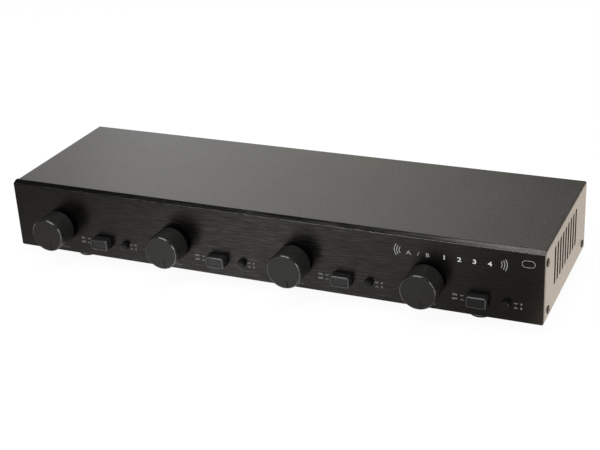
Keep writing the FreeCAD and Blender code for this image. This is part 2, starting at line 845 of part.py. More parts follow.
def make_shaft(channel):
    """The control's shaft, with a flat where the knob grips it."""
    front = d.knob_front - d.knob_length + d.knob_bore_depth + d.knob_hub_recess - d.shaft_fit
    shaft = rod(d.shaft_radius, front + d.shaft_root, 0.0, -front, 0.0, "y")
    flat = slab(2 * d.shaft_radius, d.shaft_flat_length, d.shaft_flat, 0.0, -front,
                d.shaft_radius - d.shaft_flat)
    place(carve(shaft, [flat]), f"volume_shaft_{channel + 1}",
          channel_x(first_knob_x, channel), 0.0, knob_axis)


def make_knob(channel):
    """A turned knob with a bevelled ring, a pointer line, a hollow back and a hub."""
    body = new_body()
    profile = sketch_on(body, "XY_Plane")
    front = -d.knob_front
    back = front + d.knob_length
    floor = back - d.knob_hollow
    hub = back - d.knob_hub_recess
    bore_end = hub - d.knob_bore_depth
    bore = d.shaft_radius + d.shaft_fit
    hollow = d.knob_radius - d.knob_wall
    polygon(profile, [(0.0, front), (d.knob_radius - d.knob_ring, front),
                      (d.knob_radius, front + d.knob_ring), (d.knob_radius, back - d.knob_back_chamfer),
                      (d.knob_radius - d.knob_back_chamfer, back), (hollow, back), (hollow, floor),
                      (d.knob_hub_radius, floor), (d.knob_hub_radius, hub), (bore, hub),
                      (bore, bore_end), (0.0, bore_end)])
    revolve(body, profile)
    line = sketch_on(body, "XZ_Plane", d.knob_front, d.pointer_angle)
    half = d.pointer_width / 2
    polygon(line, [(-half, -d.pointer_outer), (half, -d.pointer_outer),
                   (half, -d.pointer_inner), (-half, -d.pointer_inner)])
    pocket(body, line, d.pointer_depth)
    place(body, f"knob_{channel + 1}", channel_x(first_knob_x, channel), 0.0, knob_axis)


# ---------------------------------------------------------------- push buttons and switches

def make_button(channel):
    """The ON/OFF cap, with a socket at its back for the switch's plunger."""
    body = new_body()
    outline = sketch_on(body, "XZ_Plane", d.button_front)
    rounded_rectangle(outline, 0.0, 0.0, d.button_width, d.button_height, d.button_corner)
    pad(body, outline, d.button_front + d.button_back)
    chamfer(body, d.button_bevel, in_plane("Y", -d.button_front.number))
    fillet(body, d.button_edge, in_plane("Y", -d.button_front.number))
    socket = sketch_on(body, "XZ_Plane", -d.button_back)
    half = d.plunger_width / 2
    polygon(socket, [(-half, -half), (half, -half), (half, half), (-half, half)])
    pocket(body, socket, d.button_socket, forwards=True)
    place(body, f"on_off_button_{channel + 1}", channel_x(first_button_x, channel), 0.0, button_axis)


def make_ab_button(channel):
    """The round A/B cap, with its socket."""
    body = new_body()
    outline = sketch_on(body, "XZ_Plane", d.ab_front)
    circle(outline, 0.0, 0.0, d.ab_radius)
    pad(body, outline, d.ab_front + d.button_back)
    fillet(body, d.ab_bevel, in_plane("Y", -d.ab_front.number))
    socket = sketch_on(body, "XZ_Plane", -d.button_back)
    half = d.ab_plunger_width / 2
    polygon(socket, [(-half, -half), (half, -half), (half, half), (-half, half)])
    pocket(body, socket, d.button_socket, forwards=True)
    place(body, f"ab_button_{channel + 1}", channel_x(first_ab_x, channel), 0.0, button_axis)


def make_plunger(node, width, x):
    """A square plunger from the cap's socket into the switch."""
    front = d.button_back - d.button_socket
    plunger = doc.addObject("Part::Box", "Plunger")
    bind(plunger, "Length", width)
    bind(plunger, "Width", d.switch_front + d.plunger_reach - front)
    bind(plunger, "Height", width)
    place(plunger, node, x - width / 2, front, button_axis - width / 2)


def make_switch(node, width, depth, plunger, x):
    """A push switch that stands on the board, hollow where its plunger slides."""
    body = slab(width, depth, switch_height, 0.0, 0.0, 0.0)
    slide = plunger + 2 * d.plunger_clearance
    cavity = slab(slide, d.switch_cavity, slide, 0.0, 0.0, switch_height / 2 - slide / 2)
    place(carve(body, [cavity]), node, x, d.switch_front, board_top)


def make_channel(channel):
    """Everything that one channel has of its own."""
    number = channel + 1
    make_volume_control(channel)
    make_shaft(channel)
    make_knob(channel)
    make_button(channel)
    make_ab_button(channel)
    button_x = channel_x(first_button_x, channel)
    ab_x = channel_x(first_ab_x, channel)
    make_plunger(f"on_off_plunger_{number}", d.plunger_width, button_x)
    make_plunger(f"ab_plunger_{number}", d.ab_plunger_width, ab_x)
    make_switch(f"on_off_switch_{number}", d.switch_width, d.switch_depth, d.plunger_width, button_x)
    make_switch(f"ab_switch_{number}", d.ab_switch_width, d.ab_switch_depth, d.ab_plunger_width, ab_x)


# ---------------------------------------------------------------- board and what stands on it

def make_board():
    """The main board on its standoffs."""
    board = slab(board_length, board_back - d.board_front, d.board_thickness, 0.0, 0.0, 0.0)
    board_holes, posts, post_bores = [], [], []
    for x, y in standoff_places():
        board_holes.append(rod(screw_hole, d.board_thickness, x, y - d.board_front, 0.0))
        posts.append(rod(d.standoff_radius, d.standoff_height, x, y, 0.0))
        post_bores.append(rod(screw_hole, d.standoff_height, x, y, 0.0))
    place(carve(board, board_holes), "main_board", 0.0, d.board_front, board_bottom)
    place(carve(join(posts), post_bores), "board_standoffs", 0.0, 0.0, d.foot_height + d.tray_sheet)


def make_autoformers():
    """Two autoformers behind each control: laminated cores and their windings."""
    window_x = (d.core_middle_leg + d.core_window_width) / 2
    core_width = d.core_middle_leg + 2 * (d.core_window_width + d.core_outer_leg)
    core_height = d.core_window_height + 2 * d.core_yoke
    coil_width = d.core_middle_leg + 2 * (d.core_window_width - d.coil_gap)
    coil_height = d.core_window_height - 2 * d.coil_gap
    coil_depth = d.core_stack + 2 * d.coil_overhang
    coil_bottom = d.core_yoke + d.coil_gap
    leg_width = d.core_middle_leg + 2 * d.coil_gap
    leg_depth = d.core_stack + 2 * d.coil_gap
    blocks, windows, coils, legs = [], [], [], []
    for channel in range(CHANNELS):
        middle = channel_x(first_knob_x, channel) + d.autoformer_offset
        for x in (middle - d.autoformer_spacing / 2, middle + d.autoformer_spacing / 2):
            blocks.append(box(core_width, d.core_stack, core_height, x, 0.0, 0.0))
            for side_x in (x - window_x, x + window_x):
                windows.append(box(d.core_window_width, d.core_stack, d.core_window_height,
                                   side_x, 0.0, d.core_yoke))
            coils.append(box(coil_width, coil_depth, coil_height, x, 0.0, coil_bottom))
            legs.append(box(leg_width, leg_depth, coil_height, x, 0.0, coil_bottom))
    place(carve(join(blocks), windows), "autoformer_cores", 0.0, d.autoformer_y, board_top)
    place(carve(join(coils), legs), "autoformer_windings", 0.0, d.autoformer_y, board_top)


def terminal_x(block):
    """The place along X of a block of terminals, counted from 0."""
    return d.terminal_inset - half_width + block * terminal_pitch


def pole_places(block):
    """The places along X of the poles of a block."""
    first = terminal_x(block) - terminal_width / 2 + d.pole_pitch / 2
    return [first + pole * d.pole_pitch for pole in range(POLES)]


def make_terminals(node, blocks):
    """Screw terminals: wire holes at the back and wells for the clamp screws on top."""
    housings, holes = [], []
    well = d.clamp_screw_height + d.clamp_screw_recess
    for block in blocks:
        housings.append(slab(terminal_width, d.terminal_depth, d.terminal_height,
                             terminal_x(block), 0.0, 0.0))
        for x in pole_places(block):
            holes.append(rod(d.wire_hole_radius, d.wire_hole_depth, x, d.terminal_depth,
                             d.wire_hole_level, "y", TURN_BACK))
            holes.append(rod(d.clamp_screw_radius + d.screw_fit, well, x,
                             d.terminal_depth - d.clamp_screw_inset, d.terminal_height - well))
    place(carve(join(housings), holes), node, 0.0, terminal_front, board_top)


def make_clamp_screws():
    """The slotted clamp screws, one in each pole."""
    heads, slots = [], []
    y = d.terminal_depth - d.clamp_screw_inset
    bottom = d.terminal_height - d.clamp_screw_height - d.clamp_screw_recess
    for block in range(AMPLIFIERS + CHANNELS):
        for x in pole_places(block):
            heads.append(rod(d.clamp_screw_radius, d.clamp_screw_height, x, y, bottom))
            slots.append(box(2 * d.clamp_screw_radius, d.clamp_slot, d.clamp_slot, x, y,
                             bottom + d.clamp_screw_height - d.clamp_slot))
    place(carve(join(heads), slots), "terminal_screws", 0.0, terminal_front, board_top)


# ---------------------------------------------------------------- build, check and write

def build():
    """Make every piece."""
    make_front_panel()
    make_chassis_tray()
    make_rear_panel()
    make_top_cover()
    make_feet()
    make_fasteners()
    for channel in range(CHANNELS):
        make_channel(channel)
    make_board()
    make_autoformers()
    make_terminals("amp_input_terminals", range(AMPLIFIERS))
    make_terminals("zone_output_terminals", range(AMPLIFIERS, AMPLIFIERS + CHANNELS))
    make_clamp_screws()
    doc.recompute()


def check():
    """Stop if an object failed or a piece is not a valid solid."""
    failed = [item.Name for item in doc.Objects if {"Invalid", "Error"} & set(item.State)]
    if failed:
        raise ValueError(f"failed objects: {failed}")
    for node, item in NODES.items():
        if item.Shape.isNull() or not item.Shape.isValid() or not item.Shape.Solids:
            raise ValueError(f"{node} is not a valid solid")


def write():
    """Write each piece to a STEP file of its own."""
    os.makedirs("parts", exist_ok=True)
    for node, item in NODES.items():
        item.Shape.exportStep(f"parts/{node}.step")
    print(len(NODES), "pieces,", sum(len(item.Shape.Solids) for item in NODES.values()), "solids")


build()
check()
write()
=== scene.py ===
"""The look of the speaker selector switch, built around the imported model."""

import json
import math

import bmesh
import bpy
from mathutils import Matrix, Vector

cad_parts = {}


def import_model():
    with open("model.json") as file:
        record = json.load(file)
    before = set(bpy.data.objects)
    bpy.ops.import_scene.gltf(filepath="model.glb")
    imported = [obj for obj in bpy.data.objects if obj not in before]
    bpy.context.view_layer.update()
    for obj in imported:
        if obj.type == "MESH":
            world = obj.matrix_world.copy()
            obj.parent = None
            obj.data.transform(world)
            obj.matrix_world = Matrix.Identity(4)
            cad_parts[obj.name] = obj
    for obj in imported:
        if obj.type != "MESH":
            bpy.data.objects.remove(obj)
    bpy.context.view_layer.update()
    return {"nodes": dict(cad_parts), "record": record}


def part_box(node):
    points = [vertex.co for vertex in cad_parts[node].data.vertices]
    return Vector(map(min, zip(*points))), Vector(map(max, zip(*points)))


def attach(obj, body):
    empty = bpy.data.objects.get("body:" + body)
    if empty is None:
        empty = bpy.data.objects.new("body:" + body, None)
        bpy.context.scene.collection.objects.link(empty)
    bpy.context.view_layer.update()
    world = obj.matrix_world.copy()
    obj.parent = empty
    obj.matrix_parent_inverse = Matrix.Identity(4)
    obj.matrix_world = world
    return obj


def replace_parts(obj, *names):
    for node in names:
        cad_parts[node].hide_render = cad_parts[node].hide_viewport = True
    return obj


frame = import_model()

MM = 0.001
CHANNELS = range(1, 5)


# places from the CAD, in millimetres
FACE_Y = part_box("front_panel")[0].y / MM
COVER_SIDE, COVER_REAR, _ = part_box("top_cover")[1] / MM


def front_middle(node):
    """The middle of the front end of a CAD node."""
    low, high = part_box(node)
    return Vector(((low.x + high.x) / 2, low.y, (low.z + high.z) / 2))


# ---------------------------------------------------------------- node materials

class Nodes:
    """Short ways to add nodes to a tree."""

    def __init__(self, tree):
        self.nodes = tree.nodes
        self.links = tree.links

    def put(self, node, inputs):
        """Set a node's inputs, each to a plain value or to another node's output."""
        for socket, value in inputs.items():
            if isinstance(value, bpy.types.NodeSocket):
                self.links.new(value, node.inputs[socket])
            else:
                node.inputs[socket].default_value = value

    def node(self, kind, inputs, **settings):
        """Add a node and return its first output."""
        node = self.nodes.new("ShaderNode" + kind)
        for key, value in settings.items():
            setattr(node, key, value)
        self.put(node, inputs)
        return node.outputs[0]

    def parts(self, source, output):
        """The X, Y and Z of a vector that a node of that kind gives."""
        vector = self.nodes.new("ShaderNode" + source).outputs[output]
        separate = self.nodes.new("ShaderNodeSeparateXYZ")
        self.links.new(vector, separate.inputs[0])
        return separate.outputs[0], separate.outputs[1], separate.outputs[2]

    def maths(self, operation, first, second=0.0):
        return self.node("Math", {0: first, 1: second}, operation=operation)

    def ease(self, value, start, end, low=0.0, high=1.0):
        """The value from start to end, spread smoothly from low to high."""
        return self.node("MapRange", {"Value": value, "From Min": start, "From Max": end,
                                      "To Min": low, "To Max": high}, interpolation_type="SMOOTHSTEP")

    def ramp(self, value, *stops):
        """The value turned into a colour, by stops of a place and a colour."""
        node = self.nodes.new("ShaderNodeValToRGB")
        self.links.new(value, node.inputs["Fac"])
        elements = node.color_ramp.elements
        for place, _ in stops[1:-1]:
            elements.new(place)
        for index, (place, colour) in enumerate(stops):
            elements[index].position = place
            elements[index].color = tuple(colour) + (1.0,)
        return node.outputs["Color"]

    def mix(self, factor, first, second, blend="MIX"):
        """Two colours mixed."""
        node = self.nodes.new("ShaderNodeMix")
        node.data_type = "RGBA"
        node.blend_type = blend
        for index, value in ((0, factor), (6, first), (7, second)):
            if isinstance(value, bpy.types.NodeSocket):
                self.links.new(value, node.inputs[index])
            else:
                node.inputs[index].default_value = value if index == 0 else tuple(value) + (1.0,)
        return node.outputs[2]


class Shader(Nodes):
    """A material made of nodes. Its patterns follow the piece's own coordinates."""

    def __init__(self, name, values):
        self.material = bpy.data.materials.new(name)
        self.material.use_nodes = True
        super().__init__(self.material.node_tree)
        self.surface = self.nodes["Principled BSDF"]
        self.put(self.surface, values)

    def grid(self, x, y, z):
        """The piece's coordinates, counted in cells of x by y by z millimetres."""
        place = self.nodes.new("ShaderNodeTexCoord").outputs["Object"]
        scale = tuple(1.0 / (size * MM) for size in (x, y, z))
        return self.node("Mapping", {"Vector": place, "Scale": scale})

    def noise(self, size, detail=2.0, rough=0.5):
        """Soft noise with features of that size, from 0 to 1."""
        sizes = size if isinstance(size, tuple) else (size, size, size)
        return self.node("TexNoise", {"Vector": self.grid(*sizes), "Scale": 1.0, "Detail": detail,
                                      "Roughness": rough})

    def cells(self, size):
        """Rounded grains of that size."""
        return self.node("TexVoronoi", {"Vector": self.grid(size, size, size), "Scale": 1.0},
                         feature="SMOOTH_F1")

    def span(self, value, low, high, start=0.3, end=0.7):
        """The value from start to end, spread over low to high."""
        return self.node("MapRange", {"Value": value, "From Min": start, "From Max": end,
                                      "To Min": low, "To Max": high})

    def bump(self, height, depth, under=None):
        """Relief as deep as depth millimetres where the height goes from 0 to 1."""
        inputs = {"Strength": 1.0, "Distance": depth * MM, "Height": height}
        if under is not None:
            inputs["Normal"] = under
        return self.node("Bump", inputs)

    def finish(self, colour=None, roughness=None, normal=None):
        """Join the patterns to the surface."""
        for socket, value in (("Base Color", colour), ("Roughness", roughness), ("Normal", normal)):
            if value is not None:
                self.put(self.surface, {socket: value})
        return self.material


def brushed_panel():
    """Black anodised aluminium, brushed from left to right: its gloss spreads across the lines."""
    s = Shader("black_anodised", {"Metallic": 1.0, "Anisotropic": 0.65})
    s.put(s.surface, {"Tangent": s.node("Tangent", {}, direction_type="RADIAL", axis="X")})
    long_lines = s.noise((15.0, 15.0, 0.6), 2.0, 0.6)
    fine_lines = s.noise((7.0, 7.0, 0.25), 2.0, 0.5)
    cloud = s.noise((60.0, 60.0, 30.0), 2.0)
    # the lines are plainest near the middle of the panel and faint towards its ends: a painted sheen, where
    # the light catches the brushing
    middle, plain_to, faint_from = -0.005, 0.05, 0.17
    from_middle = s.maths("ABSOLUTE", s.maths("SUBTRACT", s.parts("TexCoord", "Object")[0], middle))
    painted_sheen_contrast = s.ease(from_middle, faint_from, plain_to, 0.6, 1.6)
    even = s.maths("SUBTRACT", s.node("Mix", {0: 0.35, 2: long_lines, 3: fine_lines}), 0.5)
    lines = s.maths("ADD", s.maths("MULTIPLY", even, painted_sheen_contrast), 0.5)
    colour = s.ramp(lines, (0.22, (0.027, 0.026, 0.0245)), (0.50, (0.043, 0.0415, 0.039)),
                    (0.78, (0.086, 0.084, 0.080)))
    roughness = s.maths("ADD", s.span(lines, 0.0, 0.06), s.span(cloud, 0.24, 0.29))
    relief = s.bump(fine_lines, 0.003, s.bump(long_lines, 0.007))
    return s.finish(colour, roughness, relief)


def powder_coat():
    """Dark warm grey powder coat with its orange peel and a fine fleck."""
    s = Shader("grey_powder_coat", {"Metallic": 0.4, "Coat Weight": 1.0, "Coat Roughness": 0.2})
    peel = s.noise(1.1, 2.0)
    grains = s.cells(0.45)
    fleck = s.noise(0.8, 1.0)
    cloud = s.node("Mix", {0: 0.6, 2: s.noise(45.0, 2.0), 3: s.noise(2.2, 2.0)})
    body = s.ramp(cloud, (0.35, (0.068, 0.0637, 0.0565)), (0.65, (0.0845, 0.0797, 0.0707)))
    fleck_tone = s.ramp(fleck, (0.38, (0.74, 0.74, 0.74)), (0.64, (1.28, 1.27, 1.25)))
    colour = s.mix(1.0, body, fleck_tone, "MULTIPLY")
    roughness = s.span(grains, 0.55, 0.65, 0.1, 0.6)
    relief = s.bump(grains, 0.03, s.bump(peel, 0.04))
    # the cut walls of the vents, behind the cover's outer side and below its top, get a near-black tone:
    # painted shade inside the vents
    x, _, z = s.parts("TexCoord", "Object")
    outer, over_vents, blur = COVER_SIDE * MM, 60.0 * MM, 0.04 * MM
    inside = s.ease(s.maths("ABSOLUTE", x), outer - blur, outer - 3 * blur)
    below = s.ease(z, over_vents + 5 * blur, over_vents - 5 * blur)
    colour = s.mix(s.maths("MULTIPLY", inside, below), colour, (0.012, 0.012, 0.012))
    s.put(s.surface, {"Coat Normal": s.bump(grains, 0.008, s.bump(peel, 0.02))})
    return s.finish(colour, roughness, relief)


def plastic(name, tone, roughness, grain, depth, values=None):
    """Moulded plastic or rubber with a fine spark-eroded grain."""
    s = Shader(name, values or {})
    texture = s.noise(grain, 2.0)
    smear = s.noise(7.0, 3.0, 0.6)
    dark = tuple(0.8 * part for part in tone)
    light = tuple(1.25 * part for part in tone)
    colour = s.ramp(s.node("Mix", {0: 0.5, 2: texture, 3: smear}), (0.35, dark), (0.65, light))
    rough = s.span(smear, roughness - 0.05, roughness + 0.05)
    return s.finish(colour, rough, s.bump(texture, depth))


def metal(name, tone, roughness, mottle, depth, values=None):
    """Plated or bare metal with a mottled plating and faint scratches."""
    inputs = {"Metallic": 1.0}
    inputs.update(values or {})
    s = Shader(name, inputs)
    patches = s.noise(mottle, 3.0, 0.6)
    scratches = s.noise((mottle * 2, 0.15, 0.15), 2.0)
    dark = tuple(0.82 * part for part in tone)
    colour = s.ramp(s.node("Mix", {0: 0.3, 2: patches, 3: scratches}), (0.35, dark), (0.65, tone))
    rough = s.span(patches, roughness - 0.07, roughness + 0.07)
    return s.finish(colour, rough, s.bump(scratches, depth, s.bump(patches, depth)))


def turned(name, tone, roughness, values=None):
    """Turned metal: fine rings about the piece's own Y axis."""
    inputs = {"Metallic": 1.0}
    inputs.update(values or {})
    s = Shader(name, inputs)
    rings = s.noise((8.0, 0.12, 8.0), 2.0)
    patches = s.noise(3.0, 2.0)
    dark = tuple(0.8 * part for part in tone)
    colour = s.ramp(rings, (0.35, dark), (0.65, tone))
    return s.finish(colour, s.span(patches, roughness - 0.05, roughness + 0.05), s.bump(rings, 0.004))


def board():
    """Green solder mask with copper tracks under it."""
    s = Shader("board_green", {"Coat Weight": 0.4, "Coat Roughness": 0.15})
    tracks = s.node("TexBrick", {"Vector": s.grid(9.0, 9.0, 9.0), "Scale": 1.0, "Mortar Size": 0.07,
                                 "Color1": (0.0, 0.0, 0.0, 1.0), "Color2": (0.1, 0.1, 0.1, 1.0),
                                 "Mortar": (1.0, 1.0, 1.0, 1.0)})
    weave = s.noise(0.6, 1.0)
    colour = s.mix(tracks, (0.012, 0.085, 0.035), (0.03, 0.17, 0.07))
    return s.finish(colour, s.span(weave, 0.32, 0.42), s.bump(tracks, 0.035, s.bump(weave, 0.01)))


def laminations():
    """Stacked core sheets, seen as fine lines across the stack."""
    s = Shader("core_steel", {"Metallic": 0.8})
    sheets = s.node("TexWave", {"Vector": s.grid(2.4, 0.8, 2.4), "Scale": 1.0, "Distortion": 0.3},
                    bands_direction="Y")
    varnish = s.noise(4.0, 3.0)
    colour = s.ramp(s.node("Mix", {0: 0.4, 2: sheets, 3: varnish}), (0.2, (0.05, 0.045, 0.04)),
                    (0.8, (0.24, 0.22, 0.20)))
    return s.finish(colour, s.span(varnish, 0.35, 0.55), s.bump(sheets, 0.05))


def winding():
    """Yellow tape wound over the coil."""
    s = Shader("winding_tape", {"Coat Weight": 0.3, "Coat Roughness": 0.2})
    turns = s.node("TexWave", {"Vector": s.grid(6.0, 6.0, 6.0), "Scale": 1.0, "Distortion": 1.0},
                   bands_direction="Z")
    wrinkles = s.noise((5.0, 5.0, 1.2), 3.0)
    colour = s.ramp(wrinkles, (0.3, (0.50, 0.30, 0.03)), (0.7, (0.70, 0.46, 0.06)))
    return s.finish(colour, s.span(wrinkles, 0.3, 0.45), s.bump(wrinkles, 0.08, s.bump(turns, 0.05)))


def ink():
    """Pad-printed light grey ink, a little uneven."""
    s = Shader("print_grey", {})
    cover = s.noise(0.35, 2.0)
    colour = s.ramp(cover, (0.35, (0.34, 0.34, 0.33)), (0.6, (0.50, 0.50, 0.48)))
    return s.finish(colour, s.span(cover, 0.45, 0.6), s.bump(cover, 0.004))


def white_ink():
    """Bright white ink for the bold words."""
    s = Shader("print_white", {})
    cover = s.noise(0.35, 2.0)
    colour = s.ramp(cover, (0.35, (0.66, 0.66, 0.65)), (0.6, (0.80, 0.80, 0.79)))
    return s.finish(colour, s.span(cover, 0.4, 0.55), s.bump(cover, 0.004))


MATERIALS = {
    "black_anodised": brushed_panel(),
    "grey_powder_coat": powder_coat(),
    "zinc_sheet": metal("zinc_sheet", (0.55, 0.56, 0.58), 0.38, 5.0, 0.01),
    "black_paint": plastic("black_paint", (0.018, 0.018, 0.019), 0.42, 0.5, 0.03),
    "foot_rubber": plastic("foot_rubber", (0.010, 0.010, 0.010), 0.5, 0.4, 0.02,
                           {"Specular IOR Level": 0.2}),
    "foot_plastic": plastic("foot_plastic", (0.022, 0.022, 0.022), 0.12, 0.5, 0.004),
    "foot_band": turned("foot_band", (0.55, 0.55, 0.54), 0.3),
    "zinc_screw": metal("zinc_screw", (0.60, 0.61, 0.63), 0.30, 1.2, 0.01),
    "black_screw": metal("black_screw", (0.07, 0.068, 0.065), 0.32, 0.9, 0.01),
    "nickel": metal("nickel", (0.66, 0.63, 0.58), 0.22, 3.0, 0.005),
    "board_green": board(),
    "core_steel": laminations(),
    "winding_tape": winding(),
    "terminal_green": plastic("terminal_green", (0.012, 0.17, 0.055), 0.38, 0.35, 0.012),
    "control_can": metal("control_can", (0.50, 0.50, 0.49), 0.34, 4.0, 0.01),
    "shaft_aluminium": turned("shaft_aluminium", (0.70, 0.70, 0.70), 0.28),
    "knob_black": plastic("knob_black", (0.014, 0.0136, 0.0128), 0.36, 0.25, 0.006,
                          {"Specular IOR Level": 0.38}),
    "knob_ring": turned("knob_ring", (0.18, 0.18, 0.176), 0.15),
    # near black: painted shade in the knobs' pointer grooves and on the caps' step down into the window
    "painted_recess_shade": plastic("painted_recess_shade", (0.004, 0.004, 0.004), 0.5, 0.3, 0.01),
    "button_black": plastic("button_black", (0.014, 0.014, 0.014), 0.34, 0.3, 0.006,
                            {"Specular IOR Level": 0.36}),
    "button_gloss": plastic("button_gloss", (0.007, 0.007, 0.007), 0.22, 0.3, 0.004,
                            {"Specular IOR Level": 0.3}),
    "button_rim": plastic("button_rim", (0.022, 0.022, 0.021), 0.14, 0.3, 0.003,
                          {"Specular IOR Level": 0.85}),
    "button_face": plastic("button_face", (0.008, 0.008, 0.011), 0.24, 0.4, 0.004),
    # a lighter tone on the front panel's rounded edges and flat top: a painted highlight
    "painted_edge_highlight": turned("painted_edge_highlight", (0.28, 0.276, 0.268), 0.42),
    "panel_end": turned("panel_end", (0.05, 0.049, 0.047), 0.12),
    "plunger_white": plastic("plunger_white", (0.62, 0.61, 0.57), 0.45, 0.5, 0.01),
    "switch_body": plastic("switch_body", (0.03, 0.03, 0.032), 0.45, 0.5, 0.01),
    "print_grey": ink(),
    "print_white": white_ink(),
}

SLOTS = {piece["node"]: piece["material_slot"] for piece in frame["record"]["subparts"]}
for node, slot in SLOTS.items():
    data = frame["nodes"][node].data
    data.materials.clear()
    data.materials.append(MATERIALS[slot])


# ---------------------------------------------------------------- making pieces

def new_object(name, mesh, materials, body):
    """A piece that rides on a CAD body."""
    item = bpy.data.objects.new(name, mesh)
    bpy.context.scene.collection.objects.link(item)
    for material in materials:
        mesh.materials.append(MATERIALS[material])
    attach(item, body)
    return item


def smooth(mesh, angle=32.0):
    """Smooth faces, with the edges sharper than the angle kept."""
    form = bmesh.new()
    form.from_mesh(mesh)
    bmesh.ops.recalc_face_normals(form, faces=form.faces)
    limit = math.radians(angle)
    for edge in form.edges:
        edge.smooth = len(edge.link_faces) == 2 and edge.calc_face_angle() < limit
    for face in form.faces:
        face.smooth = True
    form.to_mesh(mesh)
    form.free()


def weld(mesh):
    """Join the points that lie on each other."""
    form = bmesh.new()
    form.from_mesh(mesh)
    bmesh.ops.remove_doubles(form, verts=form.verts, dist=1e-6)
    form.to_mesh(mesh)
    form.free()


def lathe(name, profile, segments=96, materials=()):
    """A closed profile of (radius, height) turned about the Z axis, in millimetres.
    materials gives the material index of each of the profile's runs."""
    form = bmesh.new()
    rings = []
    for radius, height in profile:
        if radius < 1e-6:
            rings.append([form.verts.new((0.0, 0.0, height * MM))])
            continue
        turn = [math.tau * step / segments for step in range(segments)]
        rings.append([form.verts.new((radius * math.cos(a) * MM, radius * math.sin(a) * MM,
                                      height * MM)) for a in turn])
    for index, (first, second) in enumerate(zip(rings, rings[1:])):
        for step in range(segments):
            after = (step + 1) % segments
            corners = [first[step % len(first)], first[after % len(first)],
                       second[after % len(second)], second[step % len(second)]]
            unique = [c for place, c in enumerate(corners) if c not in corners[:place]]
            if len(unique) > 2:
                face = form.faces.new(unique)
                face.material_index = materials[index] if index < len(materials) else 0
    mesh = bpy.data.meshes.new(name)
    form.to_mesh(mesh)
    form.free()
    return mesh


def arc(centre, radius, start, end, steps):
    """Points on an arc of a profile, from start to end degrees."""
    points = []
    for step in range(steps + 1):
        angle = math.radians(start + (end - start) * step / steps)
        points.append((centre[0] + radius * math.cos(angle), centre[1] + radius * math.sin(angle)))
    return points


def prism(name, outline, low, high, taper=1.0):
    """A closed outline in X and Y, pushed from low to high; its low end is taper times as wide."""
    form = bmesh.new()
    ends = [[form.verts.new((x * scale * MM, y * scale * MM, z * MM)) for x, y in outline]
            for z, scale in ((low, taper), (high, 1.0))]
    form.faces.new(ends[0][::-1])
    form.faces.new(ends[1])
    for step in range(len(outline)):
        after = (step + 1) % len(outline)
        form.faces.new([ends[0][step], ends[0][after], ends[1][after], ends[1][step]])
    bmesh.ops.recalc_face_normals(form, faces=form.faces)
    mesh = bpy.data.meshes.new(name)
    form.to_mesh(mesh)
    form.free()
    return mesh


def rounded_box(name, levels):
    """A closed form along Z through rounded rectangles.
    Each level is (width, height, corner radius, z, material index of the band up to it)."""
    form = bmesh.new()
    loops = []
    for width, height, corner, z, _ in levels:
        points = []
        for turn, (sx, sy) in enumerate(((1, 1), (-1, 1), (-1, -1), (1, -1))):
            centre = (sx * (width / 2 - corner), sy * (height / 2 - corner))
            points += arc(centre, corner, 90.0 * turn, 90.0 * turn + 90.0, 6)
        loops.append([form.verts.new((x * MM, y * MM, z * MM)) for x, y in points])
    form.faces.new(loops[0][::-1]).material_index = levels[0][4]
    for low, high, level in zip(loops, loops[1:], levels[1:]):
        for step in range(len(low)):
            after = (step + 1) % len(low)
            face = form.faces.new([low[step], low[after], high[after], high[step]])
            face.material_index = level[4]
    form.faces.new(loops[-1]).material_index = levels[-1][4]
    mesh = bpy.data.meshes.new(name)
    form.to_mesh(mesh)
    form.free()
    return mesh


def cut(mesh, cutter):
    """The mesh with the cutter taken out of it."""
    holder = bpy.data.objects.new("holder", mesh)
    tool = bpy.data.objects.new("tool", cutter)
    for item in (holder, tool):
        bpy.context.scene.collection.objects.link(item)
    modifier = holder.modifiers.new("cut", "BOOLEAN")
    modifier.operation = "DIFFERENCE"
    modifier.solver = "EXACT"
    modifier.object = tool
    view = bpy.context.evaluated_depsgraph_get()
    result = bpy.data.meshes.new_from_object(holder.evaluated_get(view))
    for item in (holder, tool):
        bpy.data.objects.remove(item)
    return result


def gathered(name, parts):
    """One mesh from copies of meshes, each put in place by its matrix."""
    form = bmesh.new()
    for mesh, place in parts:
        copy = mesh.copy()
        copy.transform(place)
        form.from_mesh(copy)
        bpy.data.meshes.remove(copy)
    mesh = bpy.data.meshes.new(name)
    form.to_mesh(mesh)
    form.free()
    return mesh


def standing(place, axis):
    """The place of a piece made along Z: its Z axis points along the given axis."""
    turn = Vector(axis).to_track_quat("Z", "Y").to_matrix().to_4x4()
    return Matrix.Translation(Vector(place) * MM) @ turn


# ---------------------------------------------------------------- front panel

def rounded_outline(node, width):
    """The CAD node's mesh with its outline's edges rounded; material 1 there and on its flat top, and
    2 on its two ends."""
    form = bmesh.new()
    form.from_mesh(frame["nodes"][node].data)
    bmesh.ops.remove_doubles(form, verts=form.verts, dist=1e-6)
    bmesh.ops.dissolve_limit(form, angle_limit=math.radians(0.5), verts=form.verts, edges=form.edges)
    low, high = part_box(node)
    bevel_height, slack = 2.3 * MM, 0.01 * MM

    def outer(corner):
        x, y, z = corner.co
        side = abs(x) > high.x - slack
        top = z > high.z - bevel_height - slack
        return y < high.y - slack and (side or top or z < low.z + slack)

    edges = [edge for edge in form.edges
             if len(edge.link_faces) == 2 and edge.calc_face_angle() > math.radians(20.0)
             and all(outer(corner) for corner in edge.verts)]
    bmesh.ops.bevel(form, geom=edges, offset=width * MM, offset_type="OFFSET", segments=2, profile=0.5,
                    affect="EDGES", clamp_overlap=True, material=1)
    for face in form.faces:
        middle = face.calc_center_median()
        if abs(face.normal.x) > 0.99 and abs(middle.x) > high.x - slack:
            face.material_index = 2
        elif face.normal.z > 0.99 and middle.z > high.z - slack:
            face.material_index = 1
    mesh = bpy.data.meshes.new(node)
    form.to_mesh(mesh)
    form.free()
    return mesh


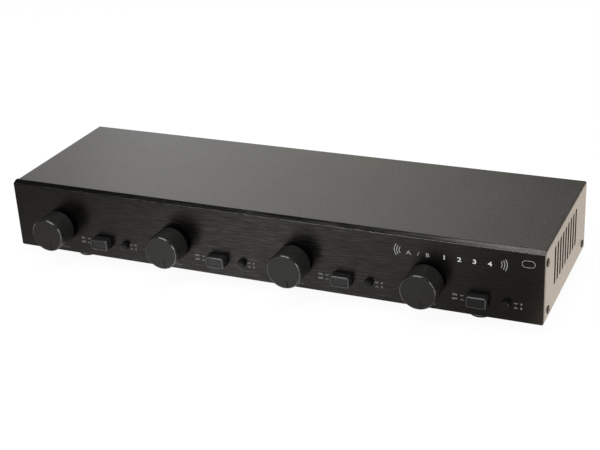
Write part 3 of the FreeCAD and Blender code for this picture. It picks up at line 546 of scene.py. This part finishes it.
# the panel's rounded edges and flat top take a lighter tone, a painted highlight along them
panel = rounded_outline("front_panel", 0.25)
smooth(panel, 25.0)
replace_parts(new_object("panel_with_painted_edge_highlight", panel, ("black_anodised", "painted_edge_highlight", "panel_end"),
                       "chassis"), "front_panel")


# ---------------------------------------------------------------- knobs

def knob_mesh():
    """A turned knob along Z, its face upwards at 0, with a polished ring and a pointer groove."""
    radius, edge, length = 13.5, 12.62, 18.0
    hollow, hollow_floor, hub, hub_end, bore, bore_floor = 11.5, -6.0, 5.0, -16.4, 3.04, -3.4
    profile = [(0.0, -0.10), (4.0, -0.09), (8.0, -0.06), (edge - 0.4, -0.02), (edge - 0.06, 0.0)]
    rim = [(0.0, -0.01), (0.12, -0.05), (0.21, -0.12), (0.38, -0.29), (0.45, -0.40)]
    profile += [(edge + out, depth) for out, depth in rim]
    profile += arc((radius - 0.6, -1.1), 0.6, 50.0, 0.0, 5)
    profile += [(radius, -2.0), (radius, -6.0), (radius, -length + 1.2), (radius, -length + 0.4)]
    profile += arc((radius - 0.4, -length + 0.4), 0.4, 0.0, -90.0, 5)
    profile += [(hollow, -length), (hollow, hollow_floor), (hub, hollow_floor), (hub, hub_end),
                (bore, hub_end), (bore, bore_floor), (0.0, bore_floor)]
    runs = [0] * (len(profile) - 1)
    first = profile.index((edge, -0.01))
    runs[first:first + len(rim) - 1] = [1] * (len(rim) - 1)
    mesh = lathe("knob", profile, 192, runs)
    width, inner, outer, floor_depth = 0.35, 6.3, 12.8, -0.42
    groove = arc((0.0, inner + width), width, 180.0, 360.0, 4) + [(width, outer), (-width, outer)]
    cutter = prism("groove", groove, floor_depth, 0.3)
    cutter.materials.append(None)
    mesh = cut(mesh, cutter)
    smooth(mesh)
    # the groove's floor and walls, below the knob's dished face, get a near-black tone: painted shade in
    # the groove
    slack, groove_shade_foot, groove_shade_top = 0.01, floor_depth - 0.03, -0.13
    for face in mesh.polygons:
        x, y, z = face.center / MM
        in_groove = abs(x) < width + slack and inner - slack < y < outer + slack
        if in_groove and groove_shade_foot < z < groove_shade_top:
            face.material_index = 2
    return mesh


POINTER_TURN = 15.0
knob = knob_mesh()
for channel in CHANNELS:
    # the knob is made along Z; it is turned to face -Y, with its pointer to the right of straight down
    mesh = knob.copy()
    mesh.transform(Matrix.Rotation(math.radians(90.0), 4, "X"))
    mesh.transform(Matrix.Rotation(math.radians(180.0 - POINTER_TURN), 4, "Y"))
    mesh.transform(Matrix.Translation(front_middle(f"knob_{channel}")))
    item = new_object(f"turned_knob_{channel}", mesh, ("knob_black", "knob_ring", "painted_recess_shade"),
                      f"volume_{channel}")
    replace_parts(item, f"knob_{channel}")


# ---------------------------------------------------------------- button caps

def on_off_mesh():
    """A push cap along Z, its front at 0: a bevelled rim round a shallow window, and a socket behind."""
    width, height, corner, length = 14.6, 8.6, 1.5, 15.0
    socket, socket_floor = 4.2, -10.95
    # how far in from the outline, height, material
    steps = [(0.4, -length, 0), (0.0, -length + 0.4, 0), (0.0, -3.0, 0), (0.02, -0.56, 0), (0.06, -0.46, 2),
             (0.44, -0.06, 2), (0.54, 0.0, 2), (1.1, 0.0, 2), (1.16, -0.04, 2), (1.24, -0.5, 3),
             (1.30, -0.54, 3), (1.38, -0.54, 1), (2.2, -0.53, 1), (3.4, -0.51, 1)]
    # material 3, on the step down into the window, is near black: painted shade
    levels = [(socket, socket, 0.3, socket_floor, 0), (socket, socket, 0.3, -length, 0)]
    levels += [(width - 2 * inset, height - 2 * inset, max(corner - inset, 0.35), z, material)
               for inset, z, material in steps]
    mesh = rounded_box("on_off_cap", levels)
    smooth(mesh, 28.0)
    return mesh


def ab_mesh():
    """A small round push cap along Z with a domed front and a socket behind."""
    radius, length, socket, socket_floor = 2.9, 12.2, 2.2, -8.15
    profile = [(0.0, 0.0), (0.9, -0.03), (1.6, -0.10), (2.1, -0.21), (2.45, -0.36)]
    profile += arc((radius - 0.35, -0.75), 0.35, 60.0, 0.0, 5)
    profile += [(radius, -2.0), (radius, -length + 0.3), (radius - 0.3, -length), (socket, -length),
                (socket, socket_floor), (0.0, socket_floor)]
    mesh = lathe("ab_cap", profile, 64)
    smooth(mesh)
    return mesh


def place_caps(kind, mesh, materials):
    """A cap in each channel in place of its CAD node."""
    for channel in CHANNELS:
        node = f"{kind}_button_{channel}"
        copy = mesh.copy()
        copy.transform(Matrix.Rotation(math.radians(90.0), 4, "X"))
        copy.transform(Matrix.Translation(front_middle(node)))
        item = new_object(f"{kind}_cap_{channel}", copy, materials, f"{kind}_{channel}")
        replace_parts(item, node)


place_caps("on_off", on_off_mesh(), ("button_black", "button_face", "button_rim", "painted_recess_shade"))
place_caps("ab", ab_mesh(), ("button_gloss",))


# ---------------------------------------------------------------- feet

def foot_mesh():
    """A turned foot along Z, standing on 0: a plastic cup with a metal band, on a rubber ring."""
    profile = [(1.6, 9.9), (8.75, 9.9), (9.0, 9.7), (8.9, 6.0), (8.7, 2.9), (8.55, 2.75), (8.45, 2.7),
               (8.45, 2.6), (8.6, 2.5), (8.6, 1.5), (8.45, 1.4), (8.3, 1.4), (8.25, 0.7)]
    profile += arc((7.7, 0.5), 0.5, 20.0, -90.0, 5)
    profile += [(4.7, 0.0), (4.4, 0.1), (4.2, 0.4), (4.2, 5.5), (1.6, 5.5), (1.6, 9.9)]
    cup_foot, band_foot = 2.65, 1.45
    runs = []
    for near, far in zip(profile, profile[1:]):
        top = max(near[1], far[1])
        runs.append(0 if top > cup_foot else 2 if top > band_foot else 1)
    mesh = lathe("foot", profile, 96, runs)
    weld(mesh)
    smooth(mesh)
    return mesh


foot = foot_mesh()
for node in ("foot_front_left", "foot_rear_left", "foot_front_right", "foot_rear_right"):
    low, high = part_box(node)
    mesh = foot.copy()
    mesh.transform(Matrix.Translation(((low.x + high.x) / 2, (low.y + high.y) / 2, 0.0)))
    item = new_object("turned_" + node, mesh, ("foot_plastic", "foot_rubber", "foot_band"), "chassis")
    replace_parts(item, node)


# ---------------------------------------------------------------- screws

SCREW_HEAD_HEIGHT = 0.8


def cross_outline(arm, width):
    """A cross recess seen from above."""
    half = width / 2
    quarter = [(half, half), (half, arm), (-half, arm)]
    points = []
    for turn in range(4):
        angle = math.radians(90.0 * turn)
        points += [(x * math.cos(angle) - y * math.sin(angle), x * math.sin(angle) + y * math.cos(angle))
                   for x, y in quarter]
    return points


def low_screw(length):
    """A low-head screw along Z with its head's seat at 0, a cross recess and a threaded shank."""
    head, height, shank, pitch, thread = 3.1, SCREW_HEAD_HEIGHT, 1.5, 0.5, 0.22
    profile = [(0.0, height), (1.4, height - 0.01), (2.2, height - 0.05)]
    profile += arc((head - 0.55, height - 0.65), 0.55, 70.0, 0.0, 7)
    profile += [(head, 0.12), (head - 0.06, 0.03), (head - 0.15, 0.0), (shank, 0.0)]
    level = -0.3
    while level > -length + 0.7:
        profile += [(shank, level), (shank - thread, level - pitch / 2)]
        level -= pitch
    profile += [(shank - 0.3, -length), (0.0, -length)]
    mesh = lathe("screw", profile, 48)
    mesh = cut(mesh, prism("cross", cross_outline(1.95, 0.75), 0.32, height + 0.2, 0.7))
    mesh = cut(mesh, prism("cross_floor", cross_outline(1.05, 1.05), 0.3, height + 0.2, 0.5))
    smooth(mesh)
    return mesh


def replace_screws(node, places, axis):
    """Detailed screws in place of a CAD node of screws. places are where their heads sit."""
    low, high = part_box(node)
    screw = low_screw(abs((high - low).dot(Vector(axis))) / MM - SCREW_HEAD_HEIGHT)
    parts = []
    for place, turn in zip(places, (20.0, 65.0, 40.0)):
        parts.append((screw, standing(place, axis) @ Matrix.Rotation(math.radians(turn), 4, "Z")))
    item = new_object(node + "_detail", gathered(node, parts), (SLOTS[node],), "chassis")
    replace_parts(item, node)


# Y and Z of the side screws, X and Z of the rear ones
SIDE_SCREWS = ((-49.75, 53.7), (-45.25, 15.1), (64.55, 15.1))
REAR_SCREWS = ((-150.0, 58.2), (0.0, 58.2), (150.0, 58.2))
replace_screws("right_side_screws", [(COVER_SIDE, y, z) for y, z in SIDE_SCREWS], (1, 0, 0))
replace_screws("left_side_screws", [(-COVER_SIDE, y, z) for y, z in SIDE_SCREWS], (-1, 0, 0))
replace_screws("rear_cover_screws", [(x, COVER_REAR, z) for x, z in REAR_SCREWS], (0, 1, 0))


# ---------------------------------------------------------------- print

INK = 0.03
CAPITAL_SHARE = 0.73


def flat_mesh(outlines):
    """Thin print from closed outlines in X and Z, on the face of the panel."""
    form = bmesh.new()
    for outline in outlines:
        back = [form.verts.new((x * MM, (FACE_Y + INK / 3) * MM, z * MM)) for x, z in outline]
        front = [form.verts.new((x * MM, (FACE_Y - INK) * MM, z * MM)) for x, z in outline]
        form.faces.new(back[::-1])
        form.faces.new(front)
        for step in range(len(outline)):
            after = (step + 1) % len(outline)
            form.faces.new([back[step], back[after], front[after], front[step]])
    bmesh.ops.recalc_face_normals(form, faces=form.faces)
    mesh = bpy.data.meshes.new("print")
    form.to_mesh(mesh)
    form.free()
    return mesh


def bar(x, z, width, height):
    """The outline of a rectangle from its middle."""
    w, h = width / 2, height / 2
    return [(x - w, z - h), (x + w, z - h), (x + w, z + h), (x - w, z + h)]


def stroke(points, width):
    """The outline of a line of that width through the points."""
    sides = ([], [])
    for index, point in enumerate(points):
        near = Vector(points[max(index - 1, 0)])
        far = Vector(points[min(index + 1, len(points) - 1)])
        along = (far - near).normalized()
        across = Vector((-along.y, along.x)) * width / 2
        sides[0].append(tuple(Vector(point) + across))
        sides[1].append(tuple(Vector(point) - across))
    return sides[0] + sides[1][::-1]


def words(text, x, z, height, align="CENTER", bold=0.0, spacing=1.0, stretch=1.0):
    """Text as thin print: x is its middle or left end, z its foot, height that of a capital letter."""
    curve = bpy.data.curves.new("words", "FONT")
    curve.body = text
    curve.align_x = align
    curve.size = height / CAPITAL_SHARE
    curve.space_character = spacing
    curve.offset = bold
    curve.extrude = INK * 2 / 3
    curve.resolution_u = 6
    item = bpy.data.objects.new("words", curve)
    bpy.context.scene.collection.objects.link(item)
    view = bpy.context.evaluated_depsgraph_get()
    mesh = bpy.data.meshes.new_from_object(item.evaluated_get(view))
    bpy.data.objects.remove(item)
    mesh.transform(Matrix.Diagonal((stretch, 1.0, 1.0, 1.0)))
    mesh.transform(Matrix.Rotation(math.radians(90.0), 4, "X"))
    mesh.transform(Matrix.Translation((x, FACE_Y - INK / 3, z)))
    mesh.transform(Matrix.Scale(MM, 4))
    return mesh


def button_sign(x, z, pressed):
    """The small sign beside a word: a button that stands out, or one that is pressed in."""
    line, low, high = 0.3, z + 0.15, z + 0.7
    surface, cap = (high, low) if pressed else (low, high)
    shape = [bar(x - 0.95, surface, 0.7, line), bar(x + 0.95, surface, 0.7, line), bar(x, cap, 1.3, line)]
    shape += [bar(x - 0.6, z + 0.42, 0.25, 0.84), bar(x + 0.6, z + 0.42, 0.25, 0.84)]
    return shape


def new_print(name, texts, outlines, place, material):
    """A piece of print from words and closed outlines, moved from the face to its place."""
    meshes = texts + ([flat_mesh(outlines)] if outlines else [])
    new_object(name, gathered(name, [(mesh, place) for mesh in meshes]), (material,), "chassis")


# channel 1: word, its X, the X of its button sign, Z, and whether the sign's button is pressed in
WORDS = (("ON", -154.7, -149.4, 22.5, True), ("OFF", -154.7, -149.4, 19.1, False),
         ("A", -106.9, -110.8, 22.5, True), ("B", -106.9, -110.8, 19.1, False))
NUMBER_X, NUMBER_Z, DASH_Z, DASH_SPREAD = -172.0, 11.9, 12.75, 2.3
WORD_HEIGHT, NUMBER_HEIGHT, SIGN_LIFT = 1.6, 1.7, 0.2
PRINT_PITCH = 102.1

grey_print, marks = [], []
for channel in CHANNELS:
    shift = (channel - 1) * PRINT_PITCH
    for word, word_x, sign_x, z, pressed in WORDS:
        grey_print.append(words(word, word_x + shift, z, WORD_HEIGHT))
        marks += button_sign(sign_x + shift, z + SIGN_LIFT, pressed)
    grey_print.append(words(str(channel), NUMBER_X + shift, NUMBER_Z, NUMBER_HEIGHT))
    marks += [bar(NUMBER_X + shift + side * DASH_SPREAD, DASH_Z, 1.3, 0.28) for side in (-1, 1)]

# three sound waves at each end of the line of words
WAVE_RADII, WAVE_HALF_ANGLE = (4.2, 6.0, 7.8), 34.0
for facing, middle in ((180.0, (115.2, 52.1)), (0.0, (181.2, 51.7))):
    for radius in WAVE_RADII:
        wave = arc(middle, radius, facing - WAVE_HALF_ANGLE, facing + WAVE_HALF_ANGLE, 8)
        marks.append(stroke(wave, 0.5))
TITLE_Z = 49.4
grey_print.append(words("A / B", 116.0, TITLE_Z, 3.2, "LEFT", spacing=1.5, stretch=1.3))
white_print = [words("1   2   3   4", 142.5, TITLE_Z, 3.4, "LEFT", bold=0.09, spacing=1.2, stretch=1.35)]

# an empty rounded frame at the right end
PILL_LEFT, PILL_RIGHT, PILL_Z, PILL_RADIUS = 201.7, 205.7, 54.7, 2.5
pill = arc((PILL_RIGHT, PILL_Z), PILL_RADIUS, -90.0, 90.0, 12)
pill += arc((PILL_LEFT, PILL_Z), PILL_RADIUS, 90.0, 270.0, 12)
marks.append(stroke(pill + pill[:2], 0.3))

in_place = Matrix.Identity(4)
new_print("front_print", grey_print, marks, in_place, "print_grey")
new_print("front_print_bold", white_print, [], in_place, "print_white")

# the rear plate's print is made as on the face and turned round to the plate
PLATE_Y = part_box("rear_panel")[1].y
TO_REAR = Matrix.Translation((0.0, PLATE_Y + FACE_Y * MM, 0.0)) @ Matrix.Rotation(math.pi, 4, "Z")
FIRST_BLOCK_X, BLOCK_PITCH, POLE_PITCH = 165.0, 66.0, 5.08
LABEL_Z, RULE_Z, SIDE_Z, SIGN_Z = 40.2, 38.6, 35.4, 33.4
rear_print, rear_marks = [], []
for block, label in enumerate("AB1234"):
    x = FIRST_BLOCK_X - block * BLOCK_PITCH
    rear_print.append(words(label, x, LABEL_Z, 3.4))
    rear_marks.append(bar(x, RULE_Z, 18.0, 0.3))
    rear_print.append(words("L", x - POLE_PITCH, SIDE_Z, 2.0))
    rear_print.append(words("R", x + POLE_PITCH, SIDE_Z, 2.0))
    for pole in range(4):
        middle = x + (pole - 1.5) * POLE_PITCH
        sign = bar(middle, SIGN_Z, 1.5, 0.35)
        if pole % 2 == 0:
            sign = [(middle + across, SIGN_Z + up) for across, up in cross_outline(0.75, 0.35)]
        rear_marks.append(sign)
new_print("rear_print", rear_print, rear_marks, TO_REAR, "print_grey")


# ---------------------------------------------------------------- floor, light and camera

def floor():
    """A pale floor that keeps the object's shadow. In gloss it shows a painted pool of light in the middle,
    painted warm light to the right of the object and painted shade under it."""
    form = bmesh.new()
    bmesh.ops.create_grid(form, x_segments=8, y_segments=8, size=6.0)
    mesh = bpy.data.meshes.new("floor")
    form.to_mesh(mesh)
    form.free()
    item = bpy.data.objects.new("floor", mesh)
    bpy.context.scene.collection.objects.link(item)
    s = Shader("floor", {"Base Color": (0.8, 0.8, 0.8, 1.0), "Roughness": 0.9})
    path = s.nodes.new("ShaderNodeLightPath")
    x, y, _ = s.parts("NewGeometry", "Position")
    across = s.node("MapRange", {"Value": x, "From Min": -0.3, "From Max": 0.3})
    # a painted pool of light, brightest in the middle, seen only in gloss
    sheet = s.ramp(across, (0.05, (0.31, 0.285, 0.26)), (0.225, (0.62, 0.60, 0.57)),
                   (0.36, (0.95, 0.935, 0.92)), (0.46, (0.95, 0.94, 0.93)),
                   (0.525, (0.76, 0.745, 0.725)), (0.643, (0.62, 0.60, 0.575)),
                   (0.762, (0.20, 0.185, 0.16)), (0.85, (0.19, 0.17, 0.145)))
    # each change of tone lies between two places on the floor, in metres
    to_front, to_right, along_right = (-0.03, -0.08), (0.195, 0.222), (0.15, 0.0)
    under_sides, under_front, under_rear = (0.214, 0.208), (-0.056, -0.044), (0.078, 0.066)
    tone = s.mix(s.ease(y, *to_front), (0.85, 0.84, 0.83), sheet)
    # painted warm light to the right of the object, seen only in gloss
    beside = s.mix(s.ease(y, *along_right), (1.02, 0.87, 0.74), (1.16, 1.0, 0.86))
    tone = s.mix(s.ease(x, *to_right), tone, beside)
    # painted shade under the object, seen only in gloss
    sides = s.ease(s.maths("ABSOLUTE", x), *under_sides)
    ends = s.maths("MULTIPLY", s.ease(y, *under_front), s.ease(y, *under_rear))
    tone = s.mix(s.maths("MULTIPLY", sides, ends), tone, (0.03, 0.03, 0.03))
    tone = s.mix(path.outputs["Is Camera Ray"], tone, (0.94, 0.94, 0.94))
    glow = s.node("Emission", {"Color": tone, "Strength": 1.0})
    matt = s.node("BsdfDiffuse", {"Color": (0.09, 0.09, 0.09, 1.0)})
    shown = s.node("AddShader", {0: glow, 1: matt})
    seen = s.maths("MAXIMUM", path.outputs["Is Camera Ray"], path.outputs["Is Glossy Ray"])
    mixed = s.node("MixShader", {0: seen, 1: s.surface.outputs[0], 2: shown})
    s.put(s.nodes["Material Output"], {"Surface": mixed})
    mesh.materials.append(s.material)


def world():
    """White behind the object and an even soft light round it. In gloss, the wall behind is light on
    the left and dark on the right, with a dim window high up on the right. x, y and z are those of the
    direction that is looked in."""
    studio = bpy.data.worlds.new("studio")
    bpy.context.scene.world = studio
    studio.use_nodes = True
    s = Nodes(studio.node_tree)
    path = s.nodes.new("ShaderNodeLightPath")
    x, y, z = s.parts("TexCoord", "Generated")
    across = s.node("MapRange", {"Value": x, "From Min": -0.7, "From Max": 0.3})
    # place from left to right, level, and how much of the blue is left
    levels = ((0.08, 0.25, 1.02), (0.14, 0.45, 1.02), (0.20, 0.94, 1.02), (0.30, 0.67, 0.94),
              (0.36, 0.52, 0.92), (0.40, 0.45, 0.92), (0.45, 0.26, 0.92), (0.51, 0.04, 0.9),
              (0.75, 0.02, 0.9))
    wall = s.ramp(across, *((place, (level, level, level * blue)) for place, level, blue in levels))
    window_foot, window_side, window_level = (0.32, 0.48), (0.2, 0.35), 0.6
    window = s.maths("MULTIPLY", s.ease(z, *window_foot, 0.0, window_level), s.ease(x, *window_side))
    wall = s.mix(1.0, wall, window, "ADD")
    wall_edge = (0.2, 0.6)
    room = s.mix(s.ease(y, *wall_edge), (0.08, 0.08, 0.08), wall)
    soft = s.mix(path.outputs["Is Glossy Ray"], (0.4, 0.4, 0.4), room)
    light = s.mix(path.outputs["Is Camera Ray"], soft, (1.0, 1.0, 1.0))
    s.put(s.nodes["Background"], {"Color": light, "Strength": 1.0})


def lamp(name, place, width, height, power, target=(0.0, 0.0, 0.04)):
    """A softbox that points at the target, near the middle of the object."""
    data = bpy.data.lights.new(name, "AREA")
    data.shape = "RECTANGLE"
    data.size = width
    data.size_y = height
    data.energy = power
    item = bpy.data.objects.new(name, data)
    bpy.context.scene.collection.objects.link(item)
    item.location = place
    item.rotation_euler = (Vector(place) - Vector(target)).to_track_quat("Z", "Y").to_euler()


def camera():
    """The camera that was fitted to the photograph."""
    place = (0.387010, -0.817465, 0.449411)
    data = bpy.data.cameras.new("camera")
    data.lens = 76.375
    data.sensor_width = 36.0
    data.sensor_fit = "HORIZONTAL"
    data.clip_start = 0.01
    item = bpy.data.objects.new("camera", data)
    bpy.context.scene.collection.objects.link(item)
    yaw, pitch, roll = (math.radians(angle) for angle in (24.8668, 24.9141, 3.2100))
    forward = Vector((-math.sin(yaw) * math.cos(pitch), math.cos(yaw) * math.cos(pitch), -math.sin(pitch)))
    level = Vector((math.cos(yaw), math.sin(yaw), 0.0))
    down = forward.cross(level)
    right = math.cos(roll) * level + math.sin(roll) * down
    down = math.cos(roll) * down - math.sin(roll) * level
    turn = Matrix((right, -down, -forward)).transposed().to_4x4()
    item.matrix_world = Matrix.Translation(place) @ turn
    bpy.context.scene.camera = item


floor()
world()
lamp("softbox_front", (-0.24, -0.77, 1.09), 0.9, 0.4, 6.2)
lamp("softbox_right", (1.11, -0.93, 0.43), 0.3, 0.6, 3.5)
lamp("softbox_above", (0.21, 0.0, 1.24), 0.4, 0.6, 5.0)
camera()
bpy.context.scene.view_settings.view_transform = "Standard"
